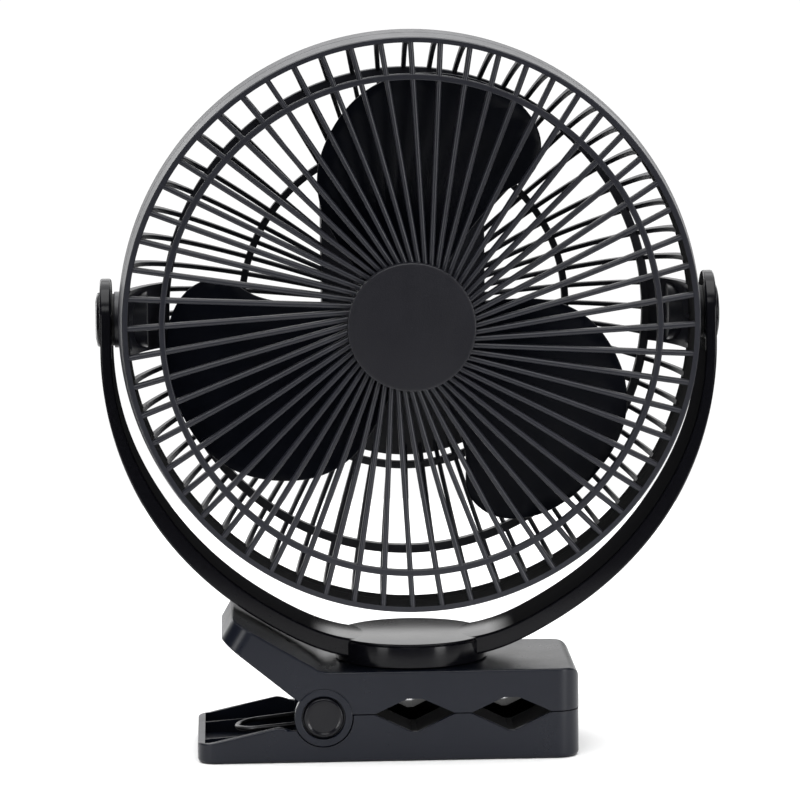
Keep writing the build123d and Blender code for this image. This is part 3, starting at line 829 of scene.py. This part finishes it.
def yokeStrap(size):
    half = size["strapDepth"] / 2
    stations = list(zip(smoothLine(size["inner"], 12), smoothLine(size["outer"], 12)))
    armInner, armOuter = stations[-1][0][0], stations[-1][1][0]
    levels = size["straightLevels"] + [half * math.sin(angle) for angle in quarterRound(24)]
    stations += [((armInner, z), (armOuter, z)) for z in levels]
    mirrored = [((-a[0], a[1]), (-b[0], b[1])) for a, b in reversed(stations[1:])]
    shape = bmesh.new()
    loops = []
    for a, b in mirrored + stations:
        thickness = math.dist(a, b)
        loop = []
        # The side that faces the fan is slightly crowned, less so up at the pivots
        crown = size["crown"] * min(max((size["crownEnds"] - a[1]) / size["crownFades"], 0.0), 1.0)
        for across, y in strapSection(thickness, 2 * half, size["edge"], crown):
            share = 0.5 + across / thickness
            x, z = a[0] + (b[0] - a[0]) * share, a[1] + (b[1] - a[1]) * share
            # Above the tilt axis the arm ends in a round
            if z > 0:
                z = min(z, abs(y))
                y = math.copysign(math.sqrt(y * y - z * z), y)
            loop.append(shape.verts.new((x * mm, y * mm, fanHeight + z * mm)))
        loops.append(loop)
    skinLoops(shape, loops)
    bmesh.ops.remove_doubles(shape, verts=shape.verts, dist=0.001 * mm)
    strap = addObject("yokeStrap", meshOf("yokeStrap", shape))
    evenNormals(strap, size["sharpAngle"])
    disc = yokeDisc(size)
    for piece in (strap, disc):
        piece.data.materials.append(finishes["yokePlastic"])
    joinInto(strap, [disc])
    # The inside of the strap, away from the disc, gets the dull black finish as painted shade
    strap.data.materials.append(finishes["yokePaintedShade"])
    for polygon in strap.data.polygons:
        x, z = polygon.center.x, polygon.center.z - fanHeight
        facing = -(polygon.normal.x * x + polygon.normal.z * z) / math.hypot(x, z)
        onStrap = abs(x) > size["paintedShadeFrom"] * mm and z < size["paintedShadeBelow"] * mm
        if onStrap and facing > size["paintedShadeFacing"]:
            polygon.material_index = 1
    standFor(strap, "yoke")


# The swivel disc, with a large rounding on its rim and a small one above that
def yokeDisc(size):
    top, edge, reach = size["discTop"], size["discEdge"], size["discRadius"]
    outline = [(poleRadius, size["discBottom"]), (reach, size["discBottom"])]
    for radius, height, rounding in ((reach, top - size["discLip"], edge), (reach - edge / 2, top, edge / 2)):
        for angle in quarterRound(6):
            out, up = rounding * math.cos(angle), rounding * math.sin(angle)
            outline.append((radius - rounding + out, height - rounding + up))
    outline.append((poleRadius, top))
    shape = bmesh.new()
    addTurned(shape, outline, 160, aboutSwivel)
    disc = addObject("yokeDisc", meshOf("yokeDisc", shape))
    softenEdges(disc, size["discRounding"] * mm, 1, 60)
    return disc


yokeStrap(yokeSizes)
print("yoke made")


# Solids whose shape stays: name of the piece, rounding of its edges in millimetres,
# segments, and the angle past which an edge is sharp. Jaws have their own fillets
edgeRounding = {
    "lower_jaw": ("lowerJaw", 0, 0, 35), "upper_jaw": ("upperJaw", 0, 0, 35),
    "fan_blade": ("fanBlades", 0.45, 2, 40),
    "tilt_cap_left": ("tiltCapLeft", 0.2, 2, 20), "tilt_cap_right": ("tiltCapRight", 0.2, 2, 20),
    "rear_housing": ("rearHousing", 0.5, 2, 32), "rear_cover": ("rearCover", 0.25, 2, 32),
    "speed_dial": ("speedDial", 0.1, 1, 35),
    "pin_button_front": ("pinButtonFront", 0.12, 2, 15),
    "pin_button_rear": ("pinButtonRear", 0.12, 2, 15),
}
flatFaced = {"nodes": ("rear_housing", "rear_cover", "speed_dial"), "sharpAngle": 50}


# A copy of a solid with rounded edges and even shading
def softenedCopy(nodeName, pieceName, rounding, segments, angle):
    piece = wholeCopy(nodeName, pieceName)
    if rounding:
        softenEdges(piece, rounding * mm, segments, angle)
    if nodeName in flatFaced["nodes"]:
        evenNormals(piece, flatFaced["sharpAngle"])
    elif not rounding:
        evenNormals(piece, angle)
    standFor(piece, nodeName)


for nodeName, rounded in edgeRounding.items():
    softenedCopy(nodeName, *rounded)
print("edges rounded:", len(edgeRounding))


clampSpringSizes = {"stillBelow": 11.5, "turnsAbove": 19.1, "pinPlace": -31.5, "sharpAngle": 45}


# A whole copy of the torsion spring with even shading, in its slot's finish
def clampSpring(size):
    spring = wholeCopy("torsion_spring", "clampSpring")
    evenNormals(spring, size["sharpAngle"])
    dressInSlot(spring, "torsion_spring")
    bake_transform(spring)
    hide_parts("torsion_spring")


clampSpring(clampSpringSizes)
print("spring made")


# The studio: a dark room in front, a white backdrop behind and soft boxes round the fan.
# The glows run along the world's y axis or up it, between the two values beside them
studio = {
    "roomGlow": 0.12, "roomFade": (0.0, 0.5), "ceilingGlow": 0.55, "ceilingFade": (0.45, 0.95),
    "backdropGlow": 2.1, "backdropFade": (0.3, 0.85), "backdropFoot": (0.14, 0.18), "whiteGlow": 1.3,
    "floorRadius": 0.45, "floorCentre": (0.0, 0.12), "floorCloud": 3.0, "floorRoughness": 0.7,
    "floorTones": {"darkColour": shade(0.84, 0.84, 0.84), "lightColour": shade(0.88, 0.88, 0.88)},
    "cameraPlace": (-0.061228, -1.540422, 0.323357), "cameraTarget": (-0.002925, 0.0, 0.121956),
    "cameraRoll": -0.62, "lens": 201.10, "sensorWidth": 36, "clipEnd": 100,
    "sunPower": 3.3, "sunWidth": 80, "sunTilt": -8,
}
# Each lamp's place, target, size and power
studioLamps = {
    "topLight": ((0.0, -0.25, 1.15), (0, 0, 0.12), (1.3, 0.9), 9),
    "leftLight": ((-1.0, -1.0, 0.22), (0, 0, 0.1), (0.4, 0.6), 5),
    "rightLight": ((0.95, -1.05, 0.22), (0, 0, 0.1), (0.4, 0.6), 9),
    "frontLight": ((-0.1, -1.5, 1.3), (0, 0, 0.12), (0.8, 0.4), 4),
    "leftPanel": ((-0.95, 1.9, 0.3), (0, 0, 0.15), (0.7, 1.2), 5),
    "rightPanel": ((0.95, 1.9, 0.3), (0, 0, 0.15), (0.7, 1.2), 3.5),
}


def studioFloor():
    mesh = bpy.data.meshes.new("floor")
    shape = bmesh.new()
    bmesh.ops.create_circle(shape, cap_ends=True, segments=96, radius=studio["floorRadius"])
    bmesh.ops.translate(shape, verts=shape.verts, vec=(*studio["floorCentre"], 0.0))
    shape.to_mesh(mesh)
    shape.free()
    floor = addObject("floor", mesh)
    finish = Finish("paleFloor")
    tone = finish.mixColours(finish.noise(studio["floorCloud"], 2.0), studio["floorTones"])
    floor.data.materials.append(finish.surface({
        "Base Color": tone, "Roughness": studio["floorRoughness"], "Specular IOR Level": 0.0,
    }))


def studioLamp(name, place, target, size, power):
    light = bpy.data.lights.new(name, "AREA")
    light.shape = "RECTANGLE"
    light.size, light.size_y = size
    light.energy = power
    lamp = addObject(name, light)
    lamp.location = place
    lamp.rotation_euler = (Vector(target) - Vector(place)).to_track_quat("-Z", "Y").to_euler()


def studioSun():
    sun = bpy.data.lights.new("floorSun", "SUN")
    sun.energy = studio["sunPower"]
    sun.angle = math.radians(studio["sunWidth"])
    addObject("floorSun", sun).rotation_euler = (math.radians(studio["sunTilt"]), 0, 0)


def studioCamera():
    data = bpy.data.cameras.new("camera")
    data.lens = studio["lens"]
    data.sensor_width = studio["sensorWidth"]
    data.clip_end = studio["clipEnd"]
    camera = addObject("camera", data)
    place, target = Vector(studio["cameraPlace"]), Vector(studio["cameraTarget"])
    ahead = (target - place).normalized()
    right = ahead.cross(Vector((0, 0, 1))).normalized()
    up = right.cross(ahead)
    roll = math.radians(studio["cameraRoll"])
    rolledRight = math.cos(roll) * right + math.sin(roll) * up
    rolledUp = -math.sin(roll) * right + math.cos(roll) * up
    turn = Matrix((rolledRight, rolledUp, -ahead)).transposed()
    camera.matrix_world = Matrix.Translation(place) @ turn.to_4x4()
    bpy.context.scene.camera = camera


def studioWorld():
    world = bpy.data.worlds.new("studio")
    bpy.context.scene.world = world
    world.use_nodes = True
    sky = Graph(world.node_tree)
    place = sky.node("ShaderNodeTexCoord", output="Generated")
    back, up = [sky.node("ShaderNodeSeparateXYZ", inputs={0: place}, output=axis) for axis in "YZ"]
    room = sky.fade(back, *studio["roomFade"], (studio["roomGlow"], 0.0))
    ceiling = sky.fade(up, *studio["ceilingFade"], (0.0, studio["ceilingGlow"]))
    backdrop = sky.fade(back, *studio["backdropFade"], (0.0, studio["backdropGlow"]))
    # The backdrop hangs above the table's edge and is dark below that
    hanging = backdrop * sky.fade(up, *studio["backdropFoot"])
    brighter = sky.node("ShaderNodeMath", {"operation": "MAXIMUM"}, {0: ceiling, 1: hanging})
    seen = sky.node("ShaderNodeLightPath", output="Is Camera Ray")
    strength = sky.node("ShaderNodeMix", inputs={0: seen, 2: room + brighter, 3: studio["whiteGlow"]})
    glow = sky.node("ShaderNodeBackground", inputs={"Strength": strength})
    sky.node("ShaderNodeOutputWorld", inputs={0: glow})


studioFloor()
studioWorld()
for name, lamp in studioLamps.items():
    studioLamp(name, *lamp)
studioSun()
studioCamera()
bpy.context.scene.view_settings.view_transform = "Standard"
print("studio ready")
